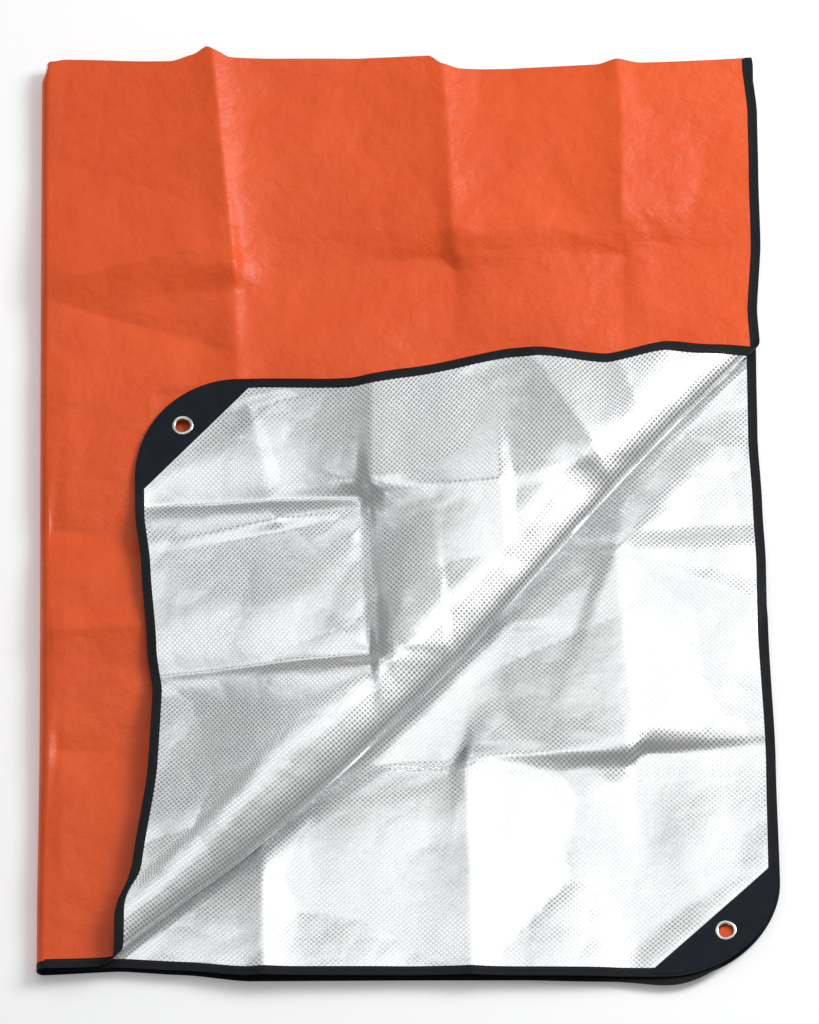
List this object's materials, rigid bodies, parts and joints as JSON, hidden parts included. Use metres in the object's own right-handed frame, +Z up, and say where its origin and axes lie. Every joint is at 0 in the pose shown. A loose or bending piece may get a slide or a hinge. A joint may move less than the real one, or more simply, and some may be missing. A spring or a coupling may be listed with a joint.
{
  "type": "folding reflective blanket",
  "caption": "Reflective all-weather blanket folded in quarters, orange outside and silver inside, one corner turned back, with taped edges, corner patches and eyelets.",
  "frame": {"origin": "centre of the bounding box's base, on the floor under the folded blanket", "axes": "+Y towards the fold along the top side, +X towards the open taped side, +Z up"},
  "size_m": [0.7668, 1.0662, 0.0571],
  "materials": {
    "orange_film": "satin",
    "scrim": "matte",
    "silver_film": "gloss",
    "laminate_fold": "satin",
    "edge_tape": "matte",
    "patch": "matte",
    "thread": "satin",
    "nickel": "gloss"
  },
  "bodies": {
    "quarter_a": {"a_orange_film": "orange_film", "a_scrim": "scrim", "a_silver_film": "silver_film", "a_tape": "edge_tape", "a_seam": "thread", "a_patch": "patch", "a_patch_seam": "thread", "a_grommet": "nickel", "a_washer": "nickel", "outer_fold_a_film": "laminate_fold", "outer_fold_a_tape": "edge_tape"},
    "quarter_b": {"b_orange_film": "orange_film", "b_scrim": "scrim", "b_silver_film": "silver_film", "b_tape": "edge_tape", "b_seam": "thread", "b_patch": "patch", "b_patch_seam": "thread", "b_grommet": "nickel", "b_washer": "nickel", "lower_fold_film": "laminate_fold", "lower_fold_tape": "edge_tape"},
    "quarter_c": {"c_orange_film": "orange_film", "c_scrim": "scrim", "c_silver_film": "silver_film", "c_tape": "edge_tape", "c_seam": "thread", "c_patch": "patch", "c_patch_seam": "thread", "c_grommet": "nickel", "c_washer": "nickel", "inner_fold_film": "laminate_fold", "inner_fold_tape": "edge_tape"},
    "quarter_d": {"d_orange_film": "orange_film", "d_scrim": "scrim", "d_silver_film": "silver_film", "d_tape": "edge_tape", "d_seam": "thread", "upper_fold_film": "laminate_fold", "upper_fold_tape": "edge_tape", "outer_fold_d_film": "laminate_fold", "outer_fold_d_tape": "edge_tape"},
    "corner_flap": {"flap_orange_film": "orange_film", "flap_scrim": "scrim", "flap_silver_film": "silver_film", "flap_tape": "edge_tape", "flap_seam": "thread", "flap_patch": "patch", "flap_patch_seam": "thread", "flap_grommet": "nickel", "flap_washer": "nickel", "roll_film": "laminate_fold", "roll_tape": "edge_tape"}
  },
  "joints": [
    {"name": "lower_fold_turn", "type": "hinge", "parent": "quarter_a", "child": "quarter_b", "pos_m": [0, 0.53322, 0.00363], "axis": [-1, 0, 0], "range_deg": [0, 180], "deforming": ["lower_fold_film", "lower_fold_tape"]},
    {"name": "side_fold_turn", "type": "hinge", "parent": "quarter_b", "child": "quarter_c", "pos_m": [-0.38352, 0, 0.00863], "axis": [0, -1, 0], "range_deg": [0, 180], "deforming": ["inner_fold_film", "inner_fold_tape"]},
    {"name": "upper_fold_turn", "type": "hinge", "parent": "quarter_c", "child": "quarter_d", "pos_m": [0, 0.53322, 0.01362], "axis": [-1, 0, 0], "range_deg": [0, 180], "deforming": ["upper_fold_film", "upper_fold_tape"]},
    {"name": "corner_turn", "type": "hinge", "parent": "quarter_d", "child": "corner_flap", "pos_m": [-0.30922, -0.53315, 0.03695], "axis": [0.6972, 0.7169, 0], "range_deg": [0, 184.7], "deforming": ["roll_film", "roll_tape"]}
  ]
}
